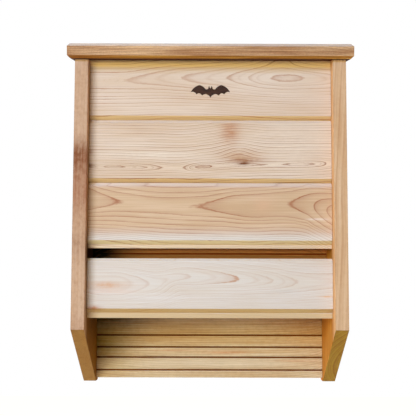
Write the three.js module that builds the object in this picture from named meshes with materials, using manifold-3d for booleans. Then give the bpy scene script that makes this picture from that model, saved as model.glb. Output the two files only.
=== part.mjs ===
// Cedar bat house: a shallow wooden box, hung on a wall, with a sloping roof, a front of
// tongue-and-groove boards with a vent slot, an inner baffle that makes two roosting
// chambers, and a grooved landing board below an open bottom.
//
// Millimetres. +X is the house's right as seen from the front, -Y is the front, +Z is up.
// Inside the house group, Y = 0 is the wall plane and Z = 0 is the underside of the side
// panels. The exported group then moves the origin to the centre of the wall face, which
// is the rear of the middle back board.

import * as THREE from 'three';
import { mergeVertices } from 'three/addons/utils/BufferGeometryUtils.js';
import Module from 'manifold-3d';

// ---------------------------------------------------------------- driving dimensions

const HOUSE_WIDTH = 352;
const SIDE_DEPTH = 138;
const BOARD_THICKNESS = 17;
const JOINT_GAP = 0.3;

// Side panels: an upright front edge, then a slanted cut back to a short flat foot.
const SIDE_FRONT_TOP = 427;
const SIDE_FRONT_BOTTOM = 78.5;
const SLANT_DEPTH = 119.5;

// Roof: one board that falls towards the front, with all its edges chamfered.
const ROOF_WIDTH = 369.4;
const ROOF_THICKNESS = 19;
const ROOF_SLOPE_DEGREES = 10;
const ROOF_OVERHANG = 10.7;
const ROOF_CHAMFER = 3.45;

// Tongue-and-groove front boards, tongue down.
const FRONT_RECESS = 17.8;
const LOWER_CHAMFER = 5.3;
const UPPER_CHAMFER = 4;
const TONGUE_OFFSET = 5.7;
const TONGUE_THICKNESS = 5.6;
const TONGUE_LENGTH = 7;
const TRIMMED_TONGUE_LENGTH = 4.9;
const GROOVE_CLEARANCE = 0.3;
const GROOVE_DEPTH = TONGUE_LENGTH + 1;

// Height of the lower edge of each front board's face. Boards 1 to 3 form the upper
// front, and the lower front board hangs below the vent slot.
const FACE_BOTTOM_1 = 356.3;
const FACE_BOTTOM_2 = 273.3;
const FACE_BOTTOM_3 = 192.5;
const FACE_BOTTOM_LOWER = 104.5;
const LOWER_BOARD_TOP = 169.1;
const LOWER_BOARD_UPPER_CHAMFER = 3;

// Back boards, filling the rear between the side panels from the bottom up.
const BACK_BOTTOM = 4.5;
const BACK_BOARD_COUNT = 3;

// Saw kerfs that give bats a foothold, on the landing board and on the baffle.
const KERF_WIDTH = 2.4;
const DEEP_KERF = 3.2;
const SHALLOW_KERF = 2;
const LANDING_KERFS = [
  { height: 63.5, depth: SHALLOW_KERF },
  { height: 46.9, depth: DEEP_KERF },
  { height: 32.8, depth: DEEP_KERF },
  { height: 15.2, depth: SHALLOW_KERF },
];

// Baffle: two boards between the two chambers, open below and above.
const BAFFLE_BOTTOM = 96.5;
const BAFFLE_BOARD_HEIGHT = 139.7;
const BAFFLE_KERF_SPACING = 16;
const BAFFLE_FIRST_KERF = 16;

// Countersunk wood screws.
const SCREW_LENGTH = 38;
const SCREW_SHANK_RADIUS = 2;
const SCREW_HEAD_RADIUS = 4;
const SCREW_HEAD_HEIGHT = 3;
const SCREW_TIP_LENGTH = 6;
const SOCKET_RADIUS = 1.5;
const SOCKET_DEPTH = 1.8;
const SCREW_SINK = 0.3;
const SCREW_CLEARANCE = 0.3;
const SCREW_SEGMENTS = 10;
const SCREW_EDGE_DISTANCE = 20;
const ROOF_SCREW_DEPTHS = [10, 63, 114];

// ---------------------------------------------------------------- worked-out dimensions

const ROOF_SLOPE = THREE.MathUtils.degToRad(ROOF_SLOPE_DEGREES);
const INNER_WIDTH = HOUSE_WIDTH - 2 * BOARD_THICKNESS;
const BOARD_LENGTH = INNER_WIDTH - 2 * JOINT_GAP;
const FRONT_FACE = -SIDE_DEPTH + FRONT_RECESS;
const BACK_FACE = -BOARD_THICKNESS;
const BAFFLE_FACE = (FRONT_FACE + BOARD_THICKNESS + BACK_FACE - BOARD_THICKNESS) / 2;

// Height of the side panels' sloping top edge at a given y.
function sideTopAt(y) {
  return SIDE_FRONT_TOP + (y + SIDE_DEPTH) * Math.tan(ROOF_SLOPE);
}

const BACK_BOARD_PITCH = (sideTopAt(BACK_FACE) - BACK_BOTTOM) / BACK_BOARD_COUNT;
const WALL_FACE_HEIGHT = BACK_BOTTOM + (BACK_BOARD_COUNT / 2) * BACK_BOARD_PITCH;

// ---------------------------------------------------------------- materials

function cedar(color) {
  return new THREE.MeshStandardMaterial({ color, roughness: 0.8, metalness: 0 });
}

const sideCedar = cedar(0xcfa981);
const roofCedar = cedar(0xbc9671);
const faceCedar = cedar(0xd6bfaa);
const paleCedar = cedar(0xd9d2c8);
const tanCedar = cedar(0xcfb092);
const backCedar = cedar(0xb8965f);
const baffleCedar = cedar(0x96683a);
const screwSteel = new THREE.MeshStandardMaterial({ color: 0x8d8878, roughness: 0.4, metalness: 0.9 });

// ---------------------------------------------------------------- solids

const manifoldModule = await Module();
manifoldModule.setup();

function toManifold(geometry) {
  const bare = geometry.clone();
  bare.deleteAttribute('normal');
  bare.deleteAttribute('uv');
  const merged = mergeVertices(bare);
  const mesh = new manifoldModule.Mesh({
    numProp: 3,
    vertProperties: merged.attributes.position.array,
    triVerts: new Uint32Array(merged.index.array),
  });
  return new manifoldModule.Manifold(mesh);
}

function toGeometry(manifold) {
  const mesh = manifold.getMesh();
  const geometry = new THREE.BufferGeometry();
  geometry.setAttribute('position', new THREE.BufferAttribute(mesh.vertProperties, 3));
  geometry.setIndex(new THREE.BufferAttribute(mesh.triVerts, 1));
  geometry.computeVertexNormals();
  return geometry;
}

// Cuts every cutter out of a solid, both given as geometry in the house's own axes.
function cut(geometry, cutters) {
  let solid = toManifold(geometry);
  for (const cutter of cutters) {
    solid = solid.subtract(toManifold(cutter));
  }
  return toGeometry(solid);
}

// Sweeps an outline of [y, z] points sideways from x = left to x = right.
function sweepAcross(outline, left, right) {
  const points = outline.map(([y, z]) => new THREE.Vector2(y, z));
  const geometry = new THREE.ExtrudeGeometry(new THREE.Shape(points), {
    depth: right - left,
    bevelEnabled: false,
  });
  const axes = new THREE.Matrix4().makeBasis(
    new THREE.Vector3(0, 1, 0),
    new THREE.Vector3(0, 0, 1),
    new THREE.Vector3(1, 0, 0),
  );
  return geometry.applyMatrix4(axes).translate(left, 0, 0);
}

// ---------------------------------------------------------------- board outlines

function sideOutline() {
  return [
    [-SIDE_DEPTH, SIDE_FRONT_BOTTOM],
    [-SIDE_DEPTH + SLANT_DEPTH, 0],
    [0, 0],
    [0, sideTopAt(0)],
    [-SIDE_DEPTH, SIDE_FRONT_TOP],
  ];
}

// The tongue hangs from the shoulder at the bottom of a board.
function tongueOutline(faceBottom, tongueLength) {
  const shoulder = faceBottom - LOWER_CHAMFER;
  const tongueFront = FRONT_FACE + TONGUE_OFFSET;
  const tongueBack = tongueFront + TONGUE_THICKNESS;
  return [
    [FRONT_FACE, faceBottom],
    [FRONT_FACE + LOWER_CHAMFER, shoulder],
    [tongueFront, shoulder],
    [tongueFront, shoulder - tongueLength],
    [tongueBack, shoulder - tongueLength],
    [tongueBack, shoulder],
    [FRONT_FACE + BOARD_THICKNESS, shoulder],
  ];
}

// The groove is open at the top of a board and takes the tongue of the board above.
function grooveOutline(top, chamfer) {
  const grooveFront = FRONT_FACE + TONGUE_OFFSET - GROOVE_CLEARANCE;
  const grooveBack = grooveFront + TONGUE_THICKNESS + 2 * GROOVE_CLEARANCE;
  return [
    [FRONT_FACE + BOARD_THICKNESS, top],
    [grooveBack, top],
    [grooveBack, top - GROOVE_DEPTH],
    [grooveFront, top - GROOVE_DEPTH],
    [grooveFront, top],
    [FRONT_FACE + chamfer, top],
    [FRONT_FACE, top - chamfer],
  ];
}

// Top of a board whose neighbour above has its face's lower edge at faceBottomAbove.
function topBelow(faceBottomAbove) {
  return faceBottomAbove - LOWER_CHAMFER - JOINT_GAP;
}

// The uppermost board has no groove: its top is bevelled to lie under the roof.
function topBoardOutline() {
  return [
    ...tongueOutline(FACE_BOTTOM_1, TONGUE_LENGTH),
    [FRONT_FACE + BOARD_THICKNESS, sideTopAt(FRONT_FACE + BOARD_THICKNESS)],
    [FRONT_FACE, sideTopAt(FRONT_FACE)],
  ];
}

function grooveBoardOutline(top, upperChamfer, faceBottom, tongueLength) {
  return [...tongueOutline(faceBottom, tongueLength), ...grooveOutline(top, upperChamfer)];
}

// A plain board from bottom to top, with kerfs cut into its front face. The list of
// kerfs runs from the highest to the lowest.
function kerfedOutline(face, bottom, topFront, topBack, kerfs) {
  const outline = [
    [face, bottom],
    [face + BOARD_THICKNESS, bottom],
    [face + BOARD_THICKNESS, topBack],
    [face, topFront],
  ];
  for (const kerf of kerfs) {
    outline.push(
      [face, kerf.height + KERF_WIDTH / 2],
      [face + kerf.depth, kerf.height + KERF_WIDTH / 2],
      [face + kerf.depth, kerf.height - KERF_WIDTH / 2],
      [face, kerf.height - KERF_WIDTH / 2],
    );
  }
  return outline;
}

function baffleKerfs(bottom) {
  const kerfs = [];
  for (let rise = BAFFLE_FIRST_KERF; rise < BAFFLE_BOARD_HEIGHT - KERF_WIDTH; rise += BAFFLE_KERF_SPACING) {
    kerfs.unshift({ height: bottom + rise, depth: SHALLOW_KERF });
  }
  return kerfs;
}

// ---------------------------------------------------------------- screws

// Countersunk screw along Y: the head's flat top at y = 0, the tip at y = -length.
function screwGeometry() {
  const profile = [
    [0, -SCREW_LENGTH],
    [SCREW_SHANK_RADIUS, -SCREW_LENGTH + SCREW_TIP_LENGTH],
    [SCREW_SHANK_RADIUS, -SCREW_HEAD_HEIGHT],
    [SCREW_HEAD_RADIUS, 0],
    [SOCKET_RADIUS, 0],
    [SOCKET_RADIUS, -SOCKET_DEPTH],
    [0, -SOCKET_DEPTH],
  ];
  return latheOf(profile);
}

// The clearance hole around a screw, with its countersink open above the head.
function screwHoleGeometry() {
  const shank = SCREW_SHANK_RADIUS + SCREW_CLEARANCE;
  const head = SCREW_HEAD_RADIUS + SCREW_CLEARANCE;
  const bottom = -SCREW_LENGTH - 2 * SCREW_CLEARANCE;
  const above = 2;
  const profile = [
    [0, bottom],
    [shank, bottom + SCREW_TIP_LENGTH],
    [shank, -SCREW_HEAD_HEIGHT - SCREW_CLEARANCE],
    [head, 0],
    [head, above],
    [0, above],
  ];
  return latheOf(profile);
}

function latheOf(profile) {
  const points = profile.map(([radius, y]) => new THREE.Vector2(radius, y));
  return new THREE.LatheGeometry(points, SCREW_SEGMENTS);
}

// Where a screw's head sits, and which way it faces.
function screwPlace(x, y, z, outward) {
  const up = new THREE.Vector3(0, 1, 0);
  const turn = new THREE.Quaternion().setFromUnitVectors(up, outward);
  return new THREE.Matrix4().compose(new THREE.Vector3(x, y, z), turn, new THREE.Vector3(1, 1, 1));
}

// Two screws through a side panel into one end of a board.
function endScrews(boardName, side, y, low, high) {
  const outward = new THREE.Vector3(side.sign, 0, 0);
  const headX = side.sign * (HOUSE_WIDTH / 2 - SCREW_SINK);
  return [
    { name: `screw_${boardName}_${side.name}_upper`, place: screwPlace(headX, y, high, outward) },
    { name: `screw_${boardName}_${side.name}_lower`, place: screwPlace(headX, y, low, outward) },
  ];
}

// Screws through the roof into the top edge of one side panel.
function roofScrews(side) {
  const outward = new THREE.Vector3(0, -Math.sin(ROOF_SLOPE), Math.cos(ROOF_SLOPE));
  const labels = ['front', 'middle', 'rear'];
  return ROOF_SCREW_DEPTHS.map((depth, index) => {
    const foot = new THREE.Vector3(
      side.sign * (HOUSE_WIDTH - BOARD_THICKNESS) / 2,
      -SIDE_DEPTH + depth,
      sideTopAt(-SIDE_DEPTH + depth),
    );
    const head = foot.addScaledVector(outward, JOINT_GAP + ROOF_THICKNESS - SCREW_SINK);
    return {
      name: `screw_roof_${side.name}_${labels[index]}`,
      place: screwPlace(head.x, head.y, head.z, outward),
    };
  });
}

// ---------------------------------------------------------------- the boards

const backBoards = ['landing_board', 'back_board_middle', 'back_board_top'].map((name, index) => {
  const bottom = BACK_BOTTOM + index * BACK_BOARD_PITCH;
  const isTop = index === BACK_BOARD_COUNT - 1;
  const top = bottom + BACK_BOARD_PITCH - JOINT_GAP;
  return {
    name,
    middle: BACK_FACE + BOARD_THICKNESS / 2,
    low: bottom + SCREW_EDGE_DISTANCE,
    high: top - SCREW_EDGE_DISTANCE,
    material: backCedar,
    outline: kerfedOutline(
      BACK_FACE,
      bottom,
      isTop ? sideTopAt(BACK_FACE) : top,
      isTop ? sideTopAt(0) : top,
      index === 0 ? LANDING_KERFS : [],
    ),
  };
});

const baffleBoards = ['baffle_board_lower', 'baffle_board_upper'].map((name, index) => {
  const bottom = BAFFLE_BOTTOM + index * (BAFFLE_BOARD_HEIGHT + JOINT_GAP);
  const top = bottom + BAFFLE_BOARD_HEIGHT;
  return {
    name,
    middle: BAFFLE_FACE + BOARD_THICKNESS / 2,
    low: bottom + SCREW_EDGE_DISTANCE,
    high: top - SCREW_EDGE_DISTANCE,
    material: baffleCedar,
    outline: kerfedOutline(BAFFLE_FACE, bottom, top, top, baffleKerfs(bottom)),
  };
});

const frontBoards = [
  {
    name: 'front_board_1',
    material: faceCedar,
    low: FACE_BOTTOM_1 + SCREW_EDGE_DISTANCE,
    high: sideTopAt(FRONT_FACE) - SCREW_EDGE_DISTANCE,
    outline: topBoardOutline(),
  },
  {
    name: 'front_board_2',
    material: faceCedar,
    low: FACE_BOTTOM_2 + SCREW_EDGE_DISTANCE,
    high: topBelow(FACE_BOTTOM_1) - SCREW_EDGE_DISTANCE,
    outline: grooveBoardOutline(topBelow(FACE_BOTTOM_1), UPPER_CHAMFER, FACE_BOTTOM_2, TONGUE_LENGTH),
  },
  {
    name: 'front_board_3',
    material: tanCedar,
    low: FACE_BOTTOM_3 + SCREW_EDGE_DISTANCE,
    high: topBelow(FACE_BOTTOM_2) - SCREW_EDGE_DISTANCE,
    outline: grooveBoardOutline(topBelow(FACE_BOTTOM_2), UPPER_CHAMFER, FACE_BOTTOM_3, TRIMMED_TONGUE_LENGTH),
  },
  {
    name: 'lower_front_board',
    material: paleCedar,
    low: FACE_BOTTOM_LOWER + SCREW_EDGE_DISTANCE,
    high: LOWER_BOARD_TOP - SCREW_EDGE_DISTANCE,
    outline: grooveBoardOutline(LOWER_BOARD_TOP, LOWER_BOARD_UPPER_CHAMFER, FACE_BOTTOM_LOWER, TONGUE_LENGTH),
  },
].map((board) => ({ ...board, middle: FRONT_FACE + BOARD_THICKNESS / 2 }));

// ---------------------------------------------------------------- assembly

const house = new THREE.Group();

function addPiece(name, geometry, material) {
  const mesh = new THREE.Mesh(geometry, material);
  mesh.name = name;
  house.add(mesh);
  return mesh;
}

const sides = [
  { name: 'left', sign: -1 },
  { name: 'right', sign: 1 },
];

// Screw holes are cut with copies of one hole, moved to each screw's place.
function holesFor(screws) {
  return screws.map((screw) => screwHoleGeometry().applyMatrix4(screw.place));
}

const crossBoards = [...frontBoards, ...backBoards, ...baffleBoards];
const screws = [];

for (const board of crossBoards) {
  const boardScrews = sides.flatMap((side) => endScrews(board.name, side, board.middle, board.low, board.high));
  screws.push(...boardScrews);
  const blank = sweepAcross(board.outline, -BOARD_LENGTH / 2, BOARD_LENGTH / 2);
  addPiece(board.name, cut(blank, holesFor(boardScrews)), board.material);
}

for (const side of sides) {
  const outer = side.sign * HOUSE_WIDTH / 2;
  const inner = side.sign * INNER_WIDTH / 2;
  const throughSide = crossBoards.flatMap((board) => {
    return endScrews(board.name, side, board.middle, board.low, board.high);
  });
  const blank = sweepAcross(sideOutline(), Math.min(outer, inner), Math.max(outer, inner));
  const holes = holesFor([...throughSide, ...roofScrews(side)]);
  addPiece(`side_${side.name}`, cut(blank, holes), sideCedar);
}

// The roof board is drawn flat, chamfered all round, then tilted onto the side panels.
const roofLength = (SIDE_DEPTH + ROOF_OVERHANG) / Math.cos(ROOF_SLOPE);
const roofOutline = new THREE.Shape([
  new THREE.Vector2(-ROOF_WIDTH / 2 + ROOF_CHAMFER, -roofLength + ROOF_CHAMFER),
  new THREE.Vector2(ROOF_WIDTH / 2 - ROOF_CHAMFER, -roofLength + ROOF_CHAMFER),
  new THREE.Vector2(ROOF_WIDTH / 2 - ROOF_CHAMFER, -ROOF_CHAMFER),
  new THREE.Vector2(-ROOF_WIDTH / 2 + ROOF_CHAMFER, -ROOF_CHAMFER),
]);
const roofBlank = new THREE.ExtrudeGeometry(roofOutline, {
  depth: ROOF_THICKNESS - 2 * ROOF_CHAMFER,
  bevelEnabled: true,
  bevelSegments: 1,
  bevelSize: ROOF_CHAMFER,
  bevelThickness: ROOF_CHAMFER,
});
roofBlank.translate(0, 0, ROOF_CHAMFER + JOINT_GAP);
roofBlank.rotateX(ROOF_SLOPE);
roofBlank.translate(0, 0, sideTopAt(0));

const allRoofScrews = sides.flatMap((side) => roofScrews(side));
screws.push(...allRoofScrews);
addPiece('roof', cut(roofBlank, holesFor(allRoofScrews)), roofCedar);

for (const screw of screws) {
  const mesh = addPiece(screw.name, screwGeometry(), screwSteel);
  mesh.applyMatrix4(screw.place);
}

const batHouse = new THREE.Group();
house.position.set(0, 0, -WALL_FACE_HEIGHT);
batHouse.add(house);

export default batHouse;
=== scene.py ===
"""Looks of a cedar bat house: procedural cedar on every board, a burned bat mark, studio light."""

import math

import bmesh
import bpy
from mathutils import Euler, Matrix, Vector


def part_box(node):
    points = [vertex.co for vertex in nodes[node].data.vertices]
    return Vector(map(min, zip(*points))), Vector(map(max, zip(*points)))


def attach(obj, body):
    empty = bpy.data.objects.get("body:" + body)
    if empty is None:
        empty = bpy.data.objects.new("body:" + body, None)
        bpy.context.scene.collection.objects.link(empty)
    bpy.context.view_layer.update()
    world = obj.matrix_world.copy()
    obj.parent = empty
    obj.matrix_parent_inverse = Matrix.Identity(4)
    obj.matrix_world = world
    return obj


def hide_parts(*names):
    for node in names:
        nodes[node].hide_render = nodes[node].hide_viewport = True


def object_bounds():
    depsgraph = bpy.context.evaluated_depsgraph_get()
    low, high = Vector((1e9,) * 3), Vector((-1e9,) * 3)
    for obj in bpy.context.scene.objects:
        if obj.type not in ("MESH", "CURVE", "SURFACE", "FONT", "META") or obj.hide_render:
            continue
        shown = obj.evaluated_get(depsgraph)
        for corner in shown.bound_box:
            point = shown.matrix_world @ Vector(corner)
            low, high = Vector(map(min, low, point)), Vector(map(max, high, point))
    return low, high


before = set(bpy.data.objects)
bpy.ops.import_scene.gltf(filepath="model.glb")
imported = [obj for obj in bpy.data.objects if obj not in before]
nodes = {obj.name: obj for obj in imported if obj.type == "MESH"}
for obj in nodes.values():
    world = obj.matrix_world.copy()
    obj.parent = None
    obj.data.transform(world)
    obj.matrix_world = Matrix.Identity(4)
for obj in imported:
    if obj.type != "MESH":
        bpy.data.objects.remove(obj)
cad_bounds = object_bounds()

MM = 0.001
ROOF_SLOPE = math.radians(10)

# ------------------------------------------------------------------ colour and node helpers


def linear(red, green, blue):
    """Scene-linear colour from the 0-255 numbers of an ordinary display colour."""

    def one(value):
        value = value / 255
        return value / 12.92 if value <= 0.04045 else ((value + 0.055) / 1.055) ** 2.4

    return (one(red), one(green), one(blue), 1.0)


def tint(colour, red, green, blue):
    """A colour with each channel scaled."""
    return (colour[0] * red, colour[1] * green, colour[2] * blue, 1.0)


class Graph:
    """A material's node tree, with short calls that add a node and wire its inputs."""

    def __init__(self, name):
        self.material = bpy.data.materials.new(name)
        self.material.use_nodes = True
        self.tree = self.material.node_tree
        self.shader = self.tree.nodes["Principled BSDF"]

    def feed(self, socket, value):
        if isinstance(value, bpy.types.NodeSocket):
            self.tree.links.new(value, socket)
        else:
            socket.default_value = value

    def node(self, kind, inputs=None, **settings):
        made = self.tree.nodes.new(kind)
        for key, value in settings.items():
            setattr(made, key, value)
        for key, value in (inputs or {}).items():
            self.feed(made.inputs[key], value)
        return made

    def calc(self, operation, *values, clamp=False):
        inputs = dict(enumerate(values))
        return self.node("ShaderNodeMath", inputs, operation=operation, use_clamp=clamp).outputs[0]

    def add(self, *values):
        total = values[0]
        for value in values[1:]:
            total = self.calc("ADD", total, value)
        return total

    def times(self, a, b):
        return self.calc("MULTIPLY", a, b)

    def scaled(self, value, low, high, to_low=0.0, to_high=1.0):
        """Maps low..high to to_low..to_high, held at both ends."""
        ends = {1: low, 2: high, 3: to_low, 4: to_high}
        return self.node("ShaderNodeMapRange", {0: value, **ends}, clamp=True).outputs[0]

    def vector(self, x, y, z):
        return self.node("ShaderNodeCombineXYZ", {0: x, 1: y, 2: z}).outputs[0]

    def features_per_metre(self, x, y, z):
        """A position for noise with so many features in a metre each way."""
        position = self.node("ShaderNodeTexCoord").outputs["Object"]
        scaled = self.node("ShaderNodeVectorMath", {0: position, 1: (x, y, z)}, operation="MULTIPLY")
        return scaled.outputs[0]

    def noise(self, position, detail=2.0, roughness=0.5):
        """Smooth noise, about 0.5 in the middle, one feature per unit of position."""
        inputs = {"Vector": position, "Scale": 1.0, "Detail": detail, "Roughness": roughness}
        return self.node("ShaderNodeTexNoise", inputs, noise_dimensions="3D").outputs[0]

    def mix(self, factor, a, b, blend="MIX"):
        """Colour a at factor 0, colour b at factor 1."""
        inputs = {0: factor, 6: a, 7: b}
        return self.node("ShaderNodeMix", inputs, data_type="RGBA", blend_type=blend).outputs[2]

    def shade(self, colour, factor, amount):
        """Multiplies a colour by a factor, as far as amount says."""
        return self.mix(amount, colour, self.mix(1.0, colour, factor, blend="MULTIPLY"))

    def curve(self, value, points):
        """A smooth curve through [(value, result), ...], held at both ends."""
        places, results = zip(*points)
        start, end = min(places), max(places)
        low, high = min(results), max(results)
        spread = max(high - low, 1e-6)
        made = self.node("ShaderNodeFloatCurve", {1: self.scaled(value, start, end)})
        line = made.mapping.curves[0]
        while len(line.points) < len(points):
            line.points.new(0.5, 0.5)
        for point, (x, y) in zip(line.points, sorted(points)):
            point.location = ((x - start) / (end - start), (y - low) / spread)
        made.mapping.update()
        return self.scaled(made.outputs[0], 0.0, 1.0, low, high)


# ------------------------------------------------------------------ screws

HEAD_SIDES = 32
HEAD_RADIUS = 4 * MM
HEAD_RIM = 0.3 * MM
SHANK_RADIUS = 2 * MM
HEAD_HEIGHT = 3 * MM
TIP_LENGTH = 6 * MM
SOCKET_HALF = 1.25 * MM
SOCKET_TAPER = 0.85
SOCKET_DEPTH = 1.8 * MM


def dull_zinc():
    """Zinc with a yellow passivated finish, dulled and a little stained."""
    graph = Graph("dull_zinc")
    mottle = graph.noise(graph.features_per_metre(900, 900, 900), detail=3.0)
    colour = graph.mix(graph.scaled(mottle, 0.3, 0.7), linear(206, 194, 158), linear(160, 142, 104))
    graph.feed(graph.shader.inputs["Base Color"], colour)
    graph.feed(graph.shader.inputs["Roughness"], graph.scaled(mottle, 0.3, 0.7, 0.4, 0.6))
    graph.shader.inputs["Metallic"].default_value = 0.6
    bump = {"Height": mottle, "Strength": 0.2, "Distance": 0.1 * MM}
    graph.feed(graph.shader.inputs["Normal"], graph.node("ShaderNodeBump", bump).outputs[0])
    return graph.material


def screw_mesh(length):
    """A countersunk screw along -Z with a square socket, its head's top at the origin."""
    turns = [2 * math.pi * i / HEAD_SIDES for i in range(HEAD_SIDES)]

    def round_ring(radius, z):
        return [(radius * math.cos(a), radius * math.sin(a), z) for a in turns]

    def square_ring(half, z):
        reach = [half / max(abs(math.cos(a)), abs(math.sin(a))) for a in turns]
        return [(r * math.cos(a), r * math.sin(a), z) for r, a in zip(reach, turns)]

    rings = [
        round_ring(SHANK_RADIUS, TIP_LENGTH - length),
        round_ring(SHANK_RADIUS, -HEAD_HEIGHT),
        round_ring(HEAD_RADIUS, -HEAD_RIM),
        round_ring(HEAD_RADIUS - HEAD_RIM / 2, 0),
        square_ring(SOCKET_HALF, 0),
        square_ring(SOCKET_HALF * SOCKET_TAPER, -SOCKET_DEPTH),
    ]
    points = [point for ring in rings for point in ring]
    points += [(0, 0, -length), (0, 0, -SOCKET_DEPTH)]
    tip, socket_floor = len(points) - 2, len(points) - 1
    last = (len(rings) - 1) * HEAD_SIDES
    faces = []
    for i in range(HEAD_SIDES):
        j = (i + 1) % HEAD_SIDES
        faces.append((tip, j, i))
        for ring in range(len(rings) - 1):
            here, above = ring * HEAD_SIDES, (ring + 1) * HEAD_SIDES
            faces.append((here + i, here + j, above + j, above + i))
        faces.append((last + i, last + j, socket_floor))
    mesh = bpy.data.meshes.new("screw")
    mesh.from_pydata(points, [], faces)
    return mesh


def screw_facing(name):
    """Which way a screw's head faces: up through the roof, or out of a side panel."""
    if name.startswith("screw_roof"):
        return Vector((0, -math.sin(ROOF_SLOPE), math.cos(ROOF_SLOPE)))
    return Vector((-1 if "_left_" in name else 1, 0, 0))


zinc = dull_zinc()
for name in [node for node in nodes if node.startswith("screw_")]:
    facing = screw_facing(name)
    corners = [vertex.co for vertex in nodes[name].data.vertices]
    reaches = [corner.dot(facing) for corner in corners]
    length = max(reaches) - min(reaches)
    tip = min(corners, key=facing.dot)
    mesh = screw_mesh(length)
    turn = facing.to_track_quat("Z", "Y").to_matrix().to_4x4()
    mesh.transform(Matrix.Translation(tip + facing * length) @ turn)
    mesh.materials.append(zinc)
    screw = bpy.data.objects.new(name + "_shape", mesh)
    bpy.context.scene.collection.objects.link(screw)
    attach(screw, "root")
    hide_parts(name)

# ------------------------------------------------------------------ cedar

# Shades laid over the wood's own colour: painted shade on faces that look down, painted light on faces that
# look up, a rub of wear, painted shade in saw kerfs, and painted shadow on a side panel's inner face.
PAINTED_SHADE_DOWN = (0.92, 0.8, 0.49, 1.0)
PAINTED_LIGHT_UP = (0.9, 0.74, 0.62, 1.0)
RUBBED = (0.72, 0.62, 0.5, 1.0)
PAINTED_KERF_SHADE = (0.36, 0.16, 0.07, 1.0)
PAINTED_SHADOW = (0.14, 0.09, 0.05, 1.0)
PALER = (1.08, 1.1, 1.13)

# Noise of each kind: the size of its features along and across the grain, in millimetres.
WANDER = {"along": 90, "across": 45}
RIPPLE = {"along": 26, "across": 9, "offset": 5.0}
JAGGED = {"along": 6, "across": 2.5, "detail": 3.0, "offset": 31.0}
PATCHES = {"along": 60, "across": 14, "detail": 3.0, "offset": 9.0}
FIBRE = {"along": 26, "across": 0.45, "detail": 3.0, "roughness": 0.6, "offset": 2.0}
STREAK = {"along": 120, "across": 2.2, "detail": 3.0, "roughness": 0.6, "offset": 13.0}
BROAD = {"along": 140, "across": 24, "offset": 21.0}
BLOTCH = {"along": 7, "across": 5, "detail": 4.0, "roughness": 0.65, "offset": 52.0}
RUBBING = {"along": 5, "across": 5, "detail": 3.0, "offset": 40.0}
SPECKLE = {"along": 1.6, "across": 1.1, "detail": 3.0, "roughness": 0.7, "offset": 71.0}
SEED_STEP = 37.0

# The wood's age in a ring runs from 0 in spring to 1 in winter. The rings are counted from
# EARLIEST_YEAR at the first radius listed, so that no ring has a number below 0.
LATE_PEAK = 0.93
MIDYEAR = 0.45
EARLIEST_YEAR = 100.0

# How far a face's normal points up, from where a shade begins to where it is full. The shades are painted
# shade on faces that look down, painted light on faces that look up, and the end grain's strength.
SLANTED_DOWN = (-0.2, -0.5)
LOOKING_DOWN = (-0.08, -0.5)
STRAIGHT_DOWN = (-0.85, -0.95)
LOOKING_UP = (0.3, 0.6)

# Millimetres. The painted light on the front strip of a side panel's inner face fades out between its two
# depths, into the painted light and shade behind it.
SKIN_EDGE = 2
STREAK_SWAY = 6.0
EDGE_REACH = 1.6
KERF_DEPTH = 3.5
FRONT_STRIP = (8, 30)
GRAIN_RELIEF = 0.3

# How far the fine noises swing about 0.
FINE_SWING = 0.3

CEDAR_SHINE = 0.12
CEDAR_ROUGHNESS = (0.58, 0.8)
RUBBED_SMOOTHER = 0.15

# What a board's grain may leave out. pith_height and pith_depth are curves along the board,
# of where the middle of the log lies. rings are the radii of the years' rings. bends and
# pushes are ovals where the pith or the rings are moved aside. wander, ripple and jagged say
# how uneven the rings are, from slow to fine.
PLAIN_GRAIN = {"bends": [], "pushes": [], "wander": 1.4, "ripple": 0.5, "jagged": 0.45}

# What a board's tones may leave out. early, warm and late are the wood's three colours. line,
# fade, faintest, contrast and midyear shape the dark late wood, flows are ovals where it is
# stronger, and end_grain strengthens it on a slanted foot. streak, pale, fibre and speckle say
# how streaky the wood is. bands and spots go as deep as skin; they hold real stains, and on
# some boards painted shade and shadow. painted_shade_down, painted_light_up and underside are
# painted shade on faces that look down, painted light on faces that look up, and painted shade
# on faces that look straight down. inner paints light and shade on a side panel's inner face,
# kerfed paints shade into saw kerfs, and mottle rubs the wood in blotches.
PLAIN_TONES = {
    "line": 0.3,
    "fade": 0.35,
    "faintest": 0.45,
    "contrast": 1.0,
    "flows": [],
    "streak": 0.5,
    "pale": 0.3,
    "fibre": 0.07,
    "speckle": 0.12,
    "bands": [],
    "spots": [],
    "skin": 99,
    "painted_shade_down": PAINTED_SHADE_DOWN,
    "painted_light_up": PAINTED_LIGHT_UP,
}


def board_axes(graph, centre, along, across, depth, tilt=0.0):
    """Millimetres along, across and into a board, from its centre. tilt turns about X, in radians."""
    position = graph.node("ShaderNodeTexCoord").outputs["Object"]
    offset = graph.node("ShaderNodeVectorMath", {0: position, 1: centre}, operation="SUBTRACT").outputs[0]
    if tilt:
        turn = {"Vector": offset, "Angle": -tilt}
        offset = graph.node("ShaderNodeVectorRotate", turn, rotation_type="X_AXIS").outputs[0]
    split = graph.node("ShaderNodeSeparateXYZ", {0: offset}).outputs
    return [graph.times(split["XYZ".index(axis)], sign / MM) for sign, axis in (along, across, depth)]


def board_box(node, centre, along, across, depth, tilt=0.0):
    """Lowest and highest u, v and w of a board's corners, in the axes of board_axes."""
    turned = Matrix.Rotation(-tilt, 3, "X")
    corners = [turned @ (vertex.co - Vector(centre)) for vertex in nodes[node].data.vertices]
    spans = []
    for sign, axis in (along, across, depth):
        places = [corner["XYZ".index(axis)] * sign / MM for corner in corners]
        spans.append((min(places), max(places)))
    return spans


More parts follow.
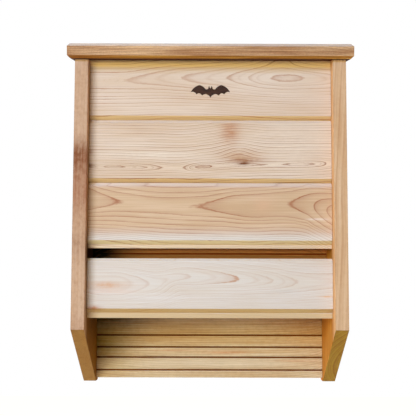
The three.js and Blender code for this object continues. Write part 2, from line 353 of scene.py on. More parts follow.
class Cedar(Graph):
    """Cedar sawn from a log, drawn in millimetres along (u), across (v) and into (w) a board.

    Where the board's face cuts the rings nearly flat, they show as the long pointed arches of
    a flat-sawn board, and the same rings make the arcs on its end grain.
    """

    def __init__(self, name, axes, grain, tones, seed, spans):
        super().__init__(name)
        self.grain = {**PLAIN_GRAIN, **grain}
        self.tones = {**PLAIN_TONES, **tones}
        self.shift = seed * SEED_STEP
        self.spans = spans
        self.u, self.v, self.w = board_axes(self, **axes)
        normal = self.node("ShaderNodeNewGeometry").outputs["Normal"]
        facing = self.node("ShaderNodeSeparateXYZ", {0: normal}).outputs
        self.sideways, self.upward = facing["X"], facing["Z"]
        self.fibre = self.stretched(**FIBRE)
        self.streak = self.stretched(**STREAK)
        self.blotch = self.stretched(**BLOTCH)

    def stretched(self, along, across, detail=2.0, roughness=0.5, offset=0.0):
        """Noise about 0, drawn out along the grain."""
        place = self.vector(
            self.add(self.times(self.u, 1 / along), self.shift + offset),
            self.times(self.v, 1 / across),
            self.times(self.w, 1 / across),
        )
        return self.calc("SUBTRACT", self.noise(place, detail, roughness), 0.5)

    def within(self, oval):
        """1 at the middle of an oval, falling smoothly to 0 outside it."""
        du = self.times(self.calc("SUBTRACT", self.u, oval["u"]), 1 / oval["half_length"])
        dv = self.times(self.calc("SUBTRACT", self.v, oval["v"]), 1 / oval["half_height"])
        square = self.add(self.times(du, du), self.times(dv, dv))
        return self.calc("EXPONENT", self.times(square, -1.0))

    def amount_in(self, oval):
        return self.times(self.within(oval), oval["amount"])

    def pith_distance(self):
        """Distance from the pith, made uneven by slow and quick wandering of the grain."""
        grain = self.grain
        wander = self.add(
            self.times(self.stretched(**WANDER), 2 * grain["wander"]),
            self.times(self.stretched(**RIPPLE), 2 * grain["ripple"]),
        )
        height = self.add(self.curve(self.u, grain["pith_height"]), *map(self.amount_in, grain["bends"]))
        depth = self.curve(self.u, grain["pith_depth"])
        dv = self.add(self.calc("SUBTRACT", self.v, height), wander)
        dw = self.calc("SUBTRACT", depth, self.w)
        radius = self.calc("SQRT", self.add(self.times(dv, dv), self.times(dw, dw)))
        radius = self.add(radius, *map(self.amount_in, grain["pushes"]))
        return self.add(radius, self.times(self.stretched(**JAGGED), grain["jagged"]))

    def ring_and_age(self):
        """The number of the year's ring, and the wood's age in it.

        Beyond the listed rings they go on evenly.
        """
        radius = self.pith_distance()
        rings = self.grain["rings"]
        first, last = rings[0], rings[-1]
        year = (last - first) / (len(rings) - 1)
        listed = self.curve(radius, [(r, float(i)) for i, r in enumerate(rings)])
        outside = self.calc("MAXIMUM", self.calc("SUBTRACT", radius, last), 0.0)
        inside = self.calc("MAXIMUM", self.calc("SUBTRACT", first, radius), 0.0)
        phase = self.add(listed, self.times(outside, 1 / year), self.times(inside, -1 / year), EARLIEST_YEAR)
        ring = self.calc("FLOOR", phase)
        return ring, self.calc("SUBTRACT", phase, ring)

    def late_wood(self):
        """Late wood: dark at the end of the year, fading back into it, with a sharp outer edge."""
        tones = self.tones
        ring, age = self.ring_and_age()
        line = self.scaled(age, 1 - tones["line"], LATE_PEAK)
        shade = self.times(self.calc("POWER", age, 3.0), tones["fade"])
        sharp = self.scaled(age, LATE_PEAK, 1.0, 1.0, 0.0)
        chance = self.node("ShaderNodeTexWhiteNoise", {"W": ring}, noise_dimensions="1D").outputs["Value"]
        strength = self.scaled(chance, 0.0, 1.0, tones["faintest"], 1.0)
        patchy = self.scaled(self.stretched(**PATCHES), -0.2, 0.2, 0.5, 1.0)
        late = self.calc("MAXIMUM", self.times(line, sharp), self.times(shade, sharp))
        late = self.times(self.times(late, strength), patchy)
        for flow in tones["flows"]:
            late = self.calc("MULTIPLY", late, self.add(1.0, self.amount_in(flow)), clamp=True)
        if "midyear" in tones:
            rise = self.scaled(age, MIDYEAR - 0.15, MIDYEAR)
            fall = self.scaled(age, MIDYEAR, MIDYEAR + 0.11, 1.0, 0.0)
            faint = self.times(self.times(rise, fall), self.times(patchy, tones["midyear"]))
            late = self.calc("MAXIMUM", late, faint)
        if "end_grain" in tones:
            boost = self.scaled(self.upward, *SLANTED_DOWN, 1.0, tones["end_grain"])
            late = self.calc("MULTIPLY", late, boost, clamp=True)
        return late

    def early_wood(self):
        """The wood between the rings' dark lines, warmer and paler in streaks."""
        tones = self.tones
        broad = self.stretched(**BROAD)
        colour = self.mix(self.scaled(broad, -0.2, 0.2), tones["early"], tones["warm"])
        colour = self.mix(self.scaled(self.streak, -0.05, 0.2, 0.0, tones["streak"]), colour, tones["warm"])
        pale = self.scaled(self.streak, -0.2, -0.02, tones["pale"], 0.0)
        return self.mix(pale, colour, tint(tones["early"], *PALER))

    def stained_and_shadowed(self, colour):
        """Bands along the board, and oval spots, no deeper than the board's skin: real stains, and on some
        boards painted shade and shadow.
        """
        tones = self.tones
        skin = self.scaled(self.w, tones["skin"], tones["skin"] + SKIN_EDGE, 1.0, 0.0)
        swaying = self.add(self.v, self.times(self.streak, STREAK_SWAY))
        for band in tones["bands"]:
            fade = self.scaled(swaying, band["start"], band["end"], 0.0, band["amount"])
            colour = self.mix(self.times(fade, skin), colour, band["colour"])
        mottled = self.add(self.fibre, self.streak, self.blotch)
        for spot in tones["spots"]:
            uneven = self.scaled(mottled, -FINE_SWING, FINE_SWING, 0.9 - spot["rough"], 0.9 + spot["rough"])
            amount = self.times(self.within(spot), self.times(skin, spot["amount"]))
            colour = self.mix(self.calc("MULTIPLY", amount, uneven, clamp=True), colour, spot["colour"])
        return colour

    def painted_light_and_shade_by_face(self, colour):
        """Painted shade on faces that look down and painted light on faces that look up; where the tones
        ask, painted shade on faces that look straight down, painted light and shade on a side panel's inner
        face, and painted shade in saw kerfs.
        """
        tones = self.tones
        colour = self.shade(colour, tones["painted_shade_down"], self.scaled(self.upward, *LOOKING_DOWN))
        colour = self.mix(self.scaled(self.upward, *LOOKING_UP, 0.0, 0.5), colour, tones["painted_light_up"])
        if "underside" in tones:
            colour = self.shade(colour, tones["underside"], self.scaled(self.upward, *STRAIGHT_DOWN))
        if "inner" in tones:
            colour = self.painted_light_inside(colour, **tones["inner"])
        if "kerfed" in tones:
            # Painted shade on the walls and floor of saw kerfs.
            below_face = self.scaled(self.w, 0.2, 0.8)
            above_floor = self.scaled(self.w, KERF_DEPTH, KERF_DEPTH + 0.1, 1.0, 0.0)
            colour = self.shade(colour, PAINTED_KERF_SHADE, self.times(below_face, above_floor))
        return colour

    def painted_light_inside(self, colour, side, front, behind, dark=()):
        """A side panel's inner face: painted light on its front strip, painted light and shade behind it,
        and ovals of painted shadow.
        """
        inward = self.scaled(self.times(self.sideways, side), 0.5, 0.8)
        front_edge = self.spans[1][0]
        start, end = FRONT_STRIP
        far = self.scaled(self.v, front_edge + start, front_edge + end, 0.1, 1.0)
        near = self.calc("SUBTRACT", 1.0, far)
        colour = self.shade(colour, behind, self.times(inward, far))
        colour = self.shade(colour, front, self.times(inward, near))
        for oval in dark:
            amount = self.times(self.within(oval), inward)
            colour = self.shade(colour, PAINTED_SHADOW, self.calc("MULTIPLY", amount, oval["amount"], clamp=True))
        return colour

    def edge_nearness(self):
        """1 on the edges of the board's box, falling to 0 at EDGE_REACH from them."""
        gaps = []
        for place, (low, high) in zip((self.u, self.v, self.w), self.spans):
            to_low = self.calc("SUBTRACT", place, low)
            to_high = self.calc("SUBTRACT", high, place)
            gaps.append(self.calc("MINIMUM", to_low, to_high))
        nearest = self.calc("MINIMUM", self.calc("MINIMUM", gaps[0], gaps[1]), gaps[2])
        farthest = self.calc("MAXIMUM", self.calc("MAXIMUM", gaps[0], gaps[1]), gaps[2])
        second = self.calc("SUBTRACT", self.calc("SUBTRACT", self.add(*gaps), nearest), farthest)
        return self.scaled(second, 0.0, EDGE_REACH, 1.0, 0.0)

    def brightened(self, colour):
        """Light and dark fibres, and fine speckle."""
        tones = self.tones
        fibre = self.scaled(self.fibre, -FINE_SWING, FINE_SWING, 1 - tones["fibre"], 1 + tones["fibre"])
        brightness = self.add(fibre, self.times(self.stretched(**SPECKLE), tones["speckle"]))
        grey = self.node("ShaderNodeCombineColor", {0: brightness, 1: brightness, 2: brightness}).outputs[0]
        return self.mix(1.0, colour, grey, blend="MULTIPLY")


def cedar(name, axes, grain, tones, seed, spans):
    """A cedar material for one board, with the given grain and tones."""
    wood = Cedar(name, axes, grain, tones, seed, spans)
    late = wood.late_wood()
    colour = wood.stained_and_shadowed(wood.early_wood())
    colour = wood.mix(wood.times(late, wood.tones["contrast"]), colour, wood.tones["late"])
    if "mottle" in tones:
        blotches = wood.scaled(wood.blotch, -0.05, 0.2)
        colour = wood.shade(colour, RUBBED, wood.times(blotches, tones["mottle"]))
    colour = wood.painted_light_and_shade_by_face(colour)

    # Edges are handled and a little dirty, unevenly along their length.
    rubbing = wood.scaled(wood.stretched(**RUBBING), -0.15, 0.15, 0.0, 0.5)
    rubbed = wood.times(wood.edge_nearness(), rubbing)
    colour = wood.brightened(wood.shade(colour, RUBBED, rubbed))
    wood.feed(wood.shader.inputs["Base Color"], colour)

    rough = wood.scaled(wood.fibre, -FINE_SWING, FINE_SWING, *CEDAR_ROUGHNESS)
    rough = wood.calc("SUBTRACT", rough, wood.times(rubbed, RUBBED_SMOOTHER))
    wood.feed(wood.shader.inputs["Roughness"], rough)
    wood.shader.inputs["Specular IOR Level"].default_value = CEDAR_SHINE

    relief = wood.add(wood.times(wood.fibre, 0.6), wood.times(late, 0.5), wood.times(wood.streak, 0.4))
    bump = {"Height": relief, "Strength": 0.4, "Distance": GRAIN_RELIEF * MM}
    wood.feed(wood.shader.inputs["Normal"], wood.node("ShaderNodeBump", bump).outputs[0])
    return wood.material


# ------------------------------------------------------------------ the boards' grain and tones


def face_axes(node, face_middle):
    """A front board: u along X, v up from the middle of its face, w into the wood from its face."""
    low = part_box(node)[0]
    centre = Vector((0, low.y, low.z + face_middle * MM))
    return {"centre": centre, "along": (1, "X"), "across": (1, "Z"), "depth": (1, "Y")}


def rings_from(start, widths):
    """Ring radii from the first one's and the widths of the years after it."""
    radii = [start]
    for width in widths:
        radii.append(radii[-1] + width)
    return radii


def oval(place, reach, amount):
    """An oval on a board's face: its middle, its half length and half height, and its strength."""
    return {"u": place[0], "v": place[1], "half_length": reach[0], "half_height": reach[1], "amount": amount}


def spot(place, reach, amount, colour, rough=0.4):
    """An oval of colour, more broken up the rougher it is: a stain on some boards, painted shadow on others.
    """
    return {**oval(place, reach, amount), "colour": linear(*colour), "rough": rough}


def band(start, end, amount, colour):
    """A band of colour along a board, a stain on some boards and painted shade on others, that begins at one
    height and is full at the other, and beyond it.
    """
    return {"start": start, "end": end, "amount": amount, "colour": linear(*colour)}


# How far the bat's middle is above the middle of its board's face, in millimetres.
BAT_RISE = -4.0

# The top front board: pointed arches that open to the right, and an oval near its right end.
BOARD_1 = {
    "axes": face_axes("front_board_1", 49),
    "grain": {
        "pith_height": [(-160, 10), (-119, 10.5), (-40, 14), (49, 14.5), (102, 14), (160, 13)],
        "pith_depth": [
            (-160, 30), (-119, 30), (-95, 29.4), (-40, 27), (20, 24), (49, 21.5), (78, 19),
            (102, 18.3), (126, 19), (160, 20.5),
        ],
        "rings": [16.5, 19, 21.5, 24, 27, 30, 32.3, 34.6, 37.3, 39.6, 43.7, 46.8, 50.8, 53.3, 56, 59],
        "pushes": [oval((94, 44), (26, 12), -9)],
    },
    "tones": {
        "early": linear(217, 195, 178),
        "warm": linear(208, 180, 157),
        "late": linear(158, 94, 58),
        "midyear": 0.22,
        # Painted light and shade under the roof's overhang: a golden painted shade near the top of the face,
        # and above it a bright golden painted light inside the roof's shadow.
        "bands": [
            band(18, 25, 0.45, (206, 170, 126)),
            band(27, 32, 0.9, (252, 216, 158)),
        ],
        "spots": [
            spot((0, BAT_RISE), (27, 11), 0.3, (196, 156, 122)),
        ],
    },
}

# The second: straight grain that humps over a knot, and small ovals along its foot.
BOARD_2 = {
    "axes": face_axes("front_board_2", 50),
    "grain": {
        "pith_height": [
            (-160, -22.5), (-127, -22.8), (-60, -23.5), (-38, -23.7), (-8, -22.3), (45, -20),
            (88, -19), (160, -17.7),
        ],
        "pith_depth": [
            (-160, 7.9), (-140, 7.2), (-126, 6.95), (-111, 7.2), (-85, 7.8), (-60, 9), (-48, 9.3), (-37, 9),
            (-20, 7.2), (-8, 6.9), (5, 7.2), (40, 7.5), (88, 7.9), (115, 7.6), (153, 9), (160, 9.6),
        ],
        "rings": [
            6.5, 7.2, 7.9, 9, 11.5, 13.8, 17, 20.1, 24.3, 28.7, 31.6, 35.1, 38.4, 42.3, 45.7, 49.3,
            52.2, 56.2, 59.5,
        ],
        "bends": [
            oval((38, 0), (20, 11), 5.5),
            oval((30, 22), (34, 30), 4.5),
        ],
        "wander": 1.0,
        "ripple": 0.35,
        "jagged": 0.35,
    },
    "tones": {
        "early": linear(219, 198, 181),
        "warm": linear(208, 179, 154),
        "late": linear(138, 76, 44),
        "faintest": 0.65,
        "midyear": 0.35,
        "streak": 0.75,
        "pale": 0.5,
        "flows": [
            oval((36, -5), (26, 8), 1.0),
            oval((27, 24), (12, 14), 0.6),
            oval((40, -21), (120, 5), 0.5),
        ],
        "spots": [
            spot((110, 6), (60, 40), 0.5, (228, 210, 195)),
            spot((-90, -7), (80, 5), 0.5, (232, 218, 204)),
            spot((-90, -21), (90, 6), 0.4, (200, 170, 142)),
            spot((26, 25), (12, 16), 0.75, (186, 130, 94)),
            spot((40, -8.5), (28, 8.0), 0.6, (184, 136, 96)),
            spot((46, -14.0), (22, 2.8), 0.85, (150, 98, 62)),
            spot((44, -17.6), (7, 1.8), 1.3, (112, 66, 42)),
            spot((-8, -22.3), (11, 1.6), 0.6, (156, 106, 76)),
            spot((-122, -22.5), (20, 0.9), 0.3, (140, 94, 64)),
            spot((-157, -21), (6, 3), 0.7, (110, 66, 44)),
            spot((-157, -3), (4, 3), 0.5, (150, 84, 62)),
        ],
    },
}

# The third: bold flat-sawn arches, and a paler strip along its foot.
BOARD_3 = {
    "axes": face_axes("front_board_3", 46),
    "grain": {
        "pith_height": [
            (-160, 18.4), (-130, 15), (-111, 13.4), (-71, 10), (-29, 8.8), (-8, 8.7), (30, 9.9), (50, 9.5),
            (100, 11.6), (120, 11.5), (134, 9), (151, 4), (160, 1.5),
        ],
        "pith_depth": [
            (-160, 26), (-130, 29.3), (-111, 30), (-71, 30.6), (-29, 30), (-8, 29.6), (10, 28.7), (30, 27),
            (50, 26), (99, 24.8), (120, 22.2), (134, 18), (151, 10.2), (160, 3),
        ],
        "rings": [2, 10.2, 18, 24.8, 30, 32.5, 35.4, 39.3, 43, 46.5, 49, 51.2, 53.4, 55.5, 57.5, 59.5],
    },
    "tones": {
        "early": linear(208, 177, 149),
        "warm": linear(195, 160, 128),
        "late": linear(148, 74, 40),
        "line": 0.18,
        "fade": 0.5,
        "faintest": 0.95,
        "streak": 0.9,
        "pale": 0.5,
        "bands": [
            band(-17, -25, 0.7, (206, 182, 168)),
            band(-25, -32, 0.9, (214, 204, 196)),
            band(-40.5, -41.5, 0.8, (214, 184, 148)),
            band(32, 35, 0.7, (212, 186, 176)),
        ],
        "spots": [
            spot((69, 12), (12, 12), 0.3, (214, 164, 136)),
            spot((140, -8), (13, 1.1), 0.7, (236, 222, 214)),
        ],
    },
}

# The lower front board: pale sapwood with faint arches, and a soft stain at its left.
BOARD_4 = {
    "axes": face_axes("lower_front_board", 43),
    "grain": {
        "pith_height": [
            (-160, 3), (-130, 1), (-76, 1), (-22, 10), (40, 7.3), (83, 5.3), (116, 4), (160, 6),
        ],
        "pith_depth": [
            (-160, 17), (-130, 15), (-100, 18), (-76, 21), (-50, 22.6), (-22, 24), (40, 26.5), (83, 28.5),
            (116, 30.5), (160, 31.5),
        ],
        "rings": [12, 21, 24, 26.5, 28.5, 30.5, 33, 35, 37, 39, 41, 43.5],
        "pushes": [oval((-44, -4), (15, 8), 2.4)],
        "wander": 1.6,
        "ripple": 0.8,
    },
    "tones": {
        "early": linear(212, 202, 198),
        "warm": linear(208, 193, 182),
        "late": linear(184, 138, 112),
        # Painted shade on faces that look down.
        "painted_shade_down": (0.71, 0.54, 0.26, 1.0),
        "bands": [
            band(-35.5, -36.5, 0.8, (198, 166, 118)),
        ],
        "contrast": 0.85,
        "line": 0.2,
        "fade": 0.45,
        "fibre": 0.055,
        "midyear": 0.3,
        "streak": 0.8,
        "pale": 0.5,
        "flows": [oval((20, 8), (24, 6), 1.3)],
        "spots": [
            spot((-132, -1), (26, 5), 0.85, (204, 158, 128)),
            spot((-126, -9), (32, 3), 0.5, (220, 190, 176)),
            spot((95, -8), (16, 2.5), 0.25, (176, 166, 160)),
            spot((-150, -30), (9, 3), 1.0, (176, 124, 96)),
            spot((152, -15), (10, 1.2), 0.6, (214, 156, 96)),
        ],
    },
}


def edge_axes(node, sign):
    """A side panel: u up its length, v from front to back, w in from its outer face."""
    low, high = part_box(node)
    outer = low.x if sign < 0 else high.x
    centre = Vector((outer, (low.y + high.y) / 2, (low.z + high.z) / 2))
    return {"centre": centre, "along": (1, "Z"), "across": (1, "Y"), "depth": (-sign, "X")}


# Fine rings, and the dark stain of a knot on the front edge.
SIDE_LEFT = {
    "axes": edge_axes("side_left", -1),
    "grain": {
        "pith_height": [(-230, 10), (-60, 6), (60, 12), (120, 0), (230, 8)],
        "pith_depth": [(-230, 52), (-100, 58), (40, 55), (80, 62), (230, 70)],
        "rings": rings_from(40, [2.4, 2.6, 2.4, 2.8, 2.5, 2.6, 2.2, 2.4, 2.6, 2.8, 2.4, 2.6, 2.3, 2.5]),
    },
    "tones": {
        "early": linear(196, 160, 134),
        "warm": linear(186, 146, 116),
        "late": linear(150, 104, 72),
        "contrast": 0.28,
        "flows": [oval((0, 20), (400, 60), 2.0)],
        "streak": 0.35,
        "mottle": 0.5,
        # Painted shade on faces that look down, the slanted foot among them.
        "painted_shade_down": (0.58, 0.465, 0.16, 1.0),
        # Painted light on the inner face's front strip, painted shade behind it, and painted shadow in two
        # ovals, by the landing bay and by the slot.
        "inner": {
            "side": 1,
            "front": (1.3, 1.3, 1.2, 1.0),
            "behind": (0.56, 0.37, 0.03, 1.0),
            "dark": [oval((-110, 10), (50, 60), 1.0), oval((-50, -20), (24, 40), 1.6)],
        },
        "spots": [
            spot((74, -72), (20, 18), 1.0, (128, 78, 50)),
            spot((34, -72), (36, 20), 0.7, (146, 88, 62)),
            spot((-40, -70), (20, 14), 0.35, (140, 96, 72)),
            spot((-150, -74), (20, 12), 0.35, (150, 100, 76)),
        ],
    },
}

# Wide rings, whose arcs show on the slanted foot.
SIDE_RIGHT = {
    "axes": edge_axes("side_right", 1),
    "grain": {
        "pith_height": [(-230, 4), (-60, 8), (60, 0), (230, 6)],
        "pith_depth": [(-230, -74), (-100, -78), (40, -88), (230, -98)],
        "rings": rings_from(60, [8, 7.5, 8, 7, 7.5, 7, 6.5, 7, 6, 6.5, 6]),
    },
    "tones": {
        "early": linear(216, 182, 150),
        "warm": linear(200, 157, 118),
        "late": linear(172, 118, 76),
        "contrast": 0.7,
        "line": 0.5,
        "fade": 0.6,
        "midyear": 0.5,
        "mottle": 0.2,
        # Painted shade on faces that look down, the slanted foot among them.
        "painted_shade_down": (0.49, 0.42, 0.06, 1.0),
        # Painted light on the inner face's front strip, and warm orange painted light and shade behind it.
        "inner": {"side": -1, "front": (1.45, 1.4, 1.2, 1.0), "behind": (1.05, 0.65, 0.15, 1.0)},
        "end_grain": 1.9,
    },
}

BACK_TONES = {
    "early": linear(216, 193, 158),
    "warm": linear(196, 162, 118),
    "late": linear(146, 98, 56),
    "streak": 0.9,
    "pale": 0.6,
    "midyear": 0.4,
    "kerfed": True,
}
BAFFLE_TONES = {
    "early": linear(250, 184, 122),
    "warm": linear(244, 169, 104),
    "late": linear(136, 88, 54),
    "contrast": 0.65,
    "kerfed": True,
}


def hidden_board(node, pith, year, tones):
    """A back or baffle board, with rings of about the given width.

    pith is a list of (place along the board, the pith's height, its depth).
    """
    low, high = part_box(node)
    centre = Vector((0, low.y, (low.z + high.z) / 2))
    return {
        "axes": {"centre": centre, "along": (1, "X"), "across": (1, "Z"), "depth": (1, "Y")},
        "grain": {
            "pith_height": [(place, height) for place, height, depth in pith],
            "pith_depth": [(place, depth) for place, height, depth in pith],
            "rings": rings_from(30, [year * (1 + 0.1 * math.sin(2.4 * i)) for i in range(10)]),
        },
        "tones": tones,
    }


# Painted shadow darkens the landing board's upper left corner and a band along its top, under the lower
# front board; below, it is paler and stained.
LANDING_TONES = {
    **BACK_TONES,
    "skin": 6,
    "late": linear(146, 88, 50),
    "streak": 1.0,
    "pale": 0.7,
    "fibre": 0.12,
    "mottle": 0.3,
    # Painted shadow along the top, under the lower front board.
    "bands": [band(15, 24, 0.6, (130, 94, 46))],
    "spots": [
        # The next two ovals are painted shadow of the left side panel and the lower front board, in the
        # upper left corner.
        spot((-160, 30), (72, 40), 1.6, (42, 28, 3), rough=0.1),
        spot((-160, -24), (42, 26), 1.0, (128, 104, 18), rough=0.1),
        spot((130, 0), (60, 30), 0.5, (196, 142, 86)),
        spot((0, -54), (130, 7), 0.6, (222, 206, 180)),
        spot((20, -39), (34, 2.2), 0.7, (206, 146, 100)),
        spot((-50, -36), (26, 1.6), 0.6, (200, 142, 96)),
        spot((120, -50), (30, 1.6), 0.6, (206, 150, 110)),
        spot((-90, -66), (40, 2.0), 0.4, (204, 166, 120)),
    ],
}

# Painted shadow on the baffle's lower board: black at its left end, and darker below a line 8 mm above its
# middle.
BAFFLE_LOW_TONES = {
    **BAFFLE_TONES,
    "skin": 6,
    "bands": [band(9.5, 8, 0.85, (150, 104, 66))],
    "spots": [spot((-160, 20), (44, 60), 1.4, (10, 6, 4), rough=0.1)],
}

LANDING = hidden_board(
    "landing_board", [(-160, 66, 38), (0, 58, 42), (160, 70, 36)], 3.0, LANDING_TONES
)
BACK_MIDDLE = hidden_board(
    "back_board_middle", [(-160, -8, 26), (40, 6, 34), (160, 14, 30)], 4.2, BACK_TONES
)
BACK_TOP = hidden_board(
    "back_board_top", [(-160, 20, 44), (-30, 8, 30), (160, 12, 22)], 3.6, BACK_TONES
)
BAFFLE_LOW = hidden_board(
    "baffle_board_lower", [(-160, 30, 40), (0, 42, 46), (160, 30, 38)], 3.2, BAFFLE_LOW_TONES
)
BAFFLE_HIGH = hidden_board(
    "baffle_board_upper", [(-160, -20, 34), (0, -32, 40), (160, -8, 46)], 3.6, BAFFLE_TONES
)

# The roof: rough, streaky wood, with painted shade on faces that look down, darker painted shade on its
# underside, and painted light on faces that look up.
roof_low, roof_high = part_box("roof")
ROOF = {
    "axes": {
        "centre": (roof_low + roof_high) / 2,
        "along": (1, "X"),
        "across": (1, "Y"),
        "depth": (1, "Z"),
        "tilt": ROOF_SLOPE,
    },
    "grain": {
        "pith_height": [(-180, -60), (0, -66), (180, -58)],
        "pith_depth": [(-180, -84), (0, -80), (180, -86)],
        "rings": rings_from(60, [3.4, 3.8, 3.0, 3.7, 3.3, 3.9, 3.2, 3.6, 3.4, 3.7]),
    },
    "tones": {
        "early": linear(208, 169, 134),
        "warm": linear(154, 106, 72),
        "late": linear(98, 52, 28),
        "midyear": 0.5,
        "streak": 1.0,
        "pale": 0.8,
        "fibre": 0.3,
        "speckle": 0.9,
        "painted_shade_down": (0.75, 0.58, 0.18, 1.0),
        "painted_light_up": (1.0, 0.86, 0.77, 1.0),
        "underside": (0.22, 0.11, 0.05, 1.0),
    },
}

WOODS = {
    "front_board_1": BOARD_1,
    "front_board_2": BOARD_2,
    "front_board_3": BOARD_3,
    "lower_front_board": BOARD_4,
    "side_left": SIDE_LEFT,
    "side_right": SIDE_RIGHT,
    "landing_board": LANDING,
    "back_board_middle": BACK_MIDDLE,
    "back_board_top": BACK_TOP,
    "baffle_board_lower": BAFFLE_LOW,
    "baffle_board_upper": BAFFLE_HIGH,
    "roof": ROOF,
}


def dress(node, material):
    """Puts a material on a CAD node, whatever slots it came with."""
    mesh = nodes[node].data
    mesh.materials.clear()
    mesh.materials.append(material)


EASED_EDGE = 0.5 * MM
EASED_ANGLE = math.radians(40)


def ease_edges(node, width):
    """Softens a board's sharp edges, as planing and handling do."""
    bevel = nodes[node].modifiers.new("eased_edges", "BEVEL")
    bevel.width = width
    bevel.segments = 2
    bevel.limit_method = "ANGLE"
    bevel.angle_limit = EASED_ANGLE
    bevel.use_clamp_overlap = False


for seed, (board, wood) in enumerate(WOODS.items(), start=1):
    spans = board_box(board, **wood["axes"])
    dress(board, cedar(f"cedar_{board}", **wood, seed=seed, spans=spans))
    ease_edges(board, EASED_EDGE)

# ------------------------------------------------------------------ the burned bat

BAT_SPAN = 52 * MM
BAT_PROUD = 0.12 * MM
BAT_SUNK = 0.3 * MM
CURVE_STEPS = 8

# Right half of a bat's outline from the top of its head to its tail, in wingspans from its
# middle. Each curve is the point it bends towards, and the point where it ends.
BAT_START = (0.0, 0.075)
BAT_CURVES = [
    ((0.015, 0.08), (0.03, 0.14)),
    ((0.052, 0.11), (0.055, 0.07)),
    ((0.08, 0.04), (0.12, 0.05)),
    ((0.18, 0.14), (0.28, 0.16)),
    ((0.43, 0.12), (0.5, -0.03)),
    ((0.42, 0.02), (0.35, -0.08)),
    ((0.28, -0.01), (0.21, -0.11)),
    ((0.13, -0.04), (0.06, -0.1)),
    ((0.03, -0.1), (0.0, -0.17)),
]


def bent(start, bend, end, steps):
    """Points of one curve after its start."""
    points = []
    for step in range(1, steps + 1):
        t = step / steps
        parts = zip(start, bend, end)
        points.append(tuple((1 - t) ** 2 * a + 2 * t * (1 - t) * b + t * t * c for a, b, c in parts))
    return points


def bat_outline():
    right = [BAT_START]
    for bend, end in BAT_CURVES:
        right += bent(right[-1], bend, end, CURVE_STEPS)
    left = [(-x, y) for x, y in reversed(right[1:-1])]
    return right + left


def scorched():
    """Charred wood, darker where the burn bit into softer grain."""
    graph = Graph("scorched_cedar")
    char = graph.noise(graph.features_per_metre(90, 400, 1400), detail=4.0, roughness=0.6)
    colour = graph.mix(graph.scaled(char, 0.35, 0.65), linear(36, 21, 17), linear(76, 47, 34))
    graph.feed(graph.shader.inputs["Base Color"], colour)
    graph.feed(graph.shader.inputs["Roughness"], graph.scaled(char, 0.3, 0.7, 0.75, 0.95))
    graph.shader.inputs["Specular IOR Level"].default_value = 0.25
    bump = {"Height": char, "Strength": 0.5, "Distance": 0.3 * MM}
    graph.feed(graph.shader.inputs["Normal"], graph.node("ShaderNodeBump", bump).outputs[0])
    return graph.material


def burned_bat():
    middle = BOARD_1["axes"]["centre"] + Vector((0, 0, BAT_RISE * MM))
    shape = bmesh.new()
    corners = [
        shape.verts.new(middle + Vector((x * BAT_SPAN, -BAT_PROUD, y * BAT_SPAN)))
        for x, y in bat_outline()
    ]
    front = shape.faces.new(corners)
    grown = bmesh.ops.extrude_face_region(shape, geom=[front])
    moved = [item for item in grown["geom"] if isinstance(item, bmesh.types.BMVert)]
    bmesh.ops.translate(shape, verts=moved, vec=(0, BAT_PROUD + BAT_SUNK, 0))
    bmesh.ops.recalc_face_normals(shape, faces=shape.faces)
    bmesh.ops.triangulate(shape, faces=shape.faces, ngon_method="EAR_CLIP")
    mesh = bpy.data.meshes.new("burned_bat_mark")
    shape.to_mesh(mesh)
    shape.free()
    mesh.materials.append(scorched())
    mark = bpy.data.objects.new("burned_bat_mark", mesh)
    bpy.context.scene.collection.objects.link(mark)
    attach(mark, "root")


burned_bat()

# ------------------------------------------------------------------ floor, light and camera


def pale_floor():
    """Evenly white to the camera, and pale grey to the light."""
    graph = Graph("pale_floor")
    graph.shader.inputs["Base Color"].default_value = linear(244, 244, 244)
    graph.shader.inputs["Roughness"].default_value = 0.9
    graph.shader.inputs["Emission Color"].default_value = linear(255, 255, 255)
    seen = graph.node("ShaderNodeLightPath").outputs["Is Camera Ray"]
    graph.feed(graph.shader.inputs["Emission Strength"], graph.times(seen, 0.95))
    return graph.material


FLOOR_DROP = 0.9
FLOOR_HALF = 6.0
FLOOR_CORNERS = [(-1, -1), (1, -1), (1, 1), (-1, 1)]
floor_height = cad_bounds[0].z - FLOOR_DROP
floor_points = [(x * FLOOR_HALF, y * FLOOR_HALF, floor_height) for x, y in FLOOR_CORNERS]
floor_mesh = bpy.data.meshes.new("floor")
floor_mesh.from_pydata(floor_points, [], [(0, 1, 2, 3)])
floor_mesh.materials.append(pale_floor())
floor = bpy.data.objects.new("floor", floor_mesh)
bpy.context.scene.collection.objects.link(floor)


def studio_world(ambient):
    """White behind the object, and a weak even light of the given colour on it."""
    world = bpy.data.worlds.new("studio")
    world.use_nodes = True
    tree = world.node_tree
    seen = tree.nodes.new("ShaderNodeLightPath").outputs["Is Camera Ray"]
    pick = tree.nodes.new("ShaderNodeMix")
    pick.data_type = "RGBA"
    tree.links.new(seen, pick.inputs[0])
    pick.inputs[6].default_value = (*ambient, 1)
    pick.inputs[7].default_value = (1, 1, 1, 1)
    tree.links.new(pick.outputs[2], tree.nodes["Background"].inputs["Color"])
    bpy.context.scene.world = world


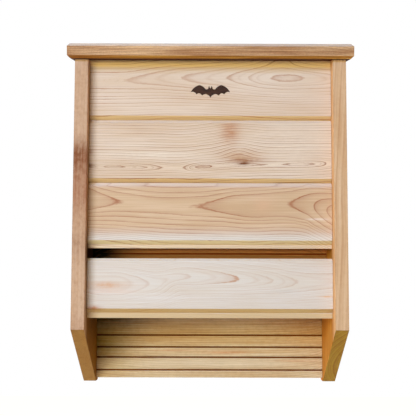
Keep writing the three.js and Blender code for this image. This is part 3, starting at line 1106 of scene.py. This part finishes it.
def soft_box(name, place, target, size, power, colour=(1, 1, 1)):
    light = bpy.data.lights.new(name, "AREA")
    light.shape = "RECTANGLE"
    light.size, light.size_y = size
    light.energy = power
    light.color = colour
    lamp = bpy.data.objects.new(name, light)
    lamp.location = place
    lamp.rotation_euler = (Vector(target) - Vector(place)).to_track_quat("-Z", "Y").to_euler()
    bpy.context.scene.collection.objects.link(lamp)


# The cool front light hangs higher than the warm one, so faces turned up look cooler.
studio_world((0.17, 0.09, 0.01))
soft_box("warm_front", (-0.68, -1.9, 0.2), (0, -0.1, 0), (1.1, 0.5), 23.2, (1.0, 0.95, 0.48))
soft_box("cool_front", (-0.78, -1.9, 0.7), (0, -0.1, 0), (1.1, 0.5), 37.4, (0.3, 0.53, 1.0))
soft_box("right_side", (2.2, 0.5, 0.6), (0, 0, 0), (0.9, 0.9), 30)
soft_box("left_side", (-2.2, 0.5, 0.6), (0, 0, 0), (0.9, 0.9), 30)
soft_box("rear_left", (-1.2, 2.0, 0.5), (0, 0, 0), (1.0, 1.0), 30)
soft_box("rear_right", (1.0, 2.2, 0.8), (0, 0, 0), (1.0, 1.0), 25)
soft_box("above", (0.2, 1.5, 1.6), (0, 0, 0.2), (1.0, 1.0), 25, (1.0, 0.86, 0.66))

CAMERA_DISTANCE = 1.1572
CAMERA_SIDE = -0.0041
CAMERA_HEIGHT = -0.0815
CAMERA_LENS = 69.24
CAMERA_PITCH = math.radians(4.946)
CAMERA_YAW = math.radians(0.075)
CAMERA_ROLL = math.radians(0.157)

camera = bpy.data.objects.new("camera", bpy.data.cameras.new("camera"))
camera.data.lens = CAMERA_LENS
camera.data.sensor_width = 36
camera.location = (CAMERA_SIDE, -CAMERA_DISTANCE, CAMERA_HEIGHT)
aim = Euler((math.pi / 2 + CAMERA_PITCH, 0, -CAMERA_YAW)).to_matrix()
camera.rotation_euler = (aim @ Matrix.Rotation(CAMERA_ROLL, 3, "Z")).to_euler()
bpy.context.scene.collection.objects.link(camera)
bpy.context.scene.camera = camera
bpy.context.scene.view_settings.view_transform = "Standard"
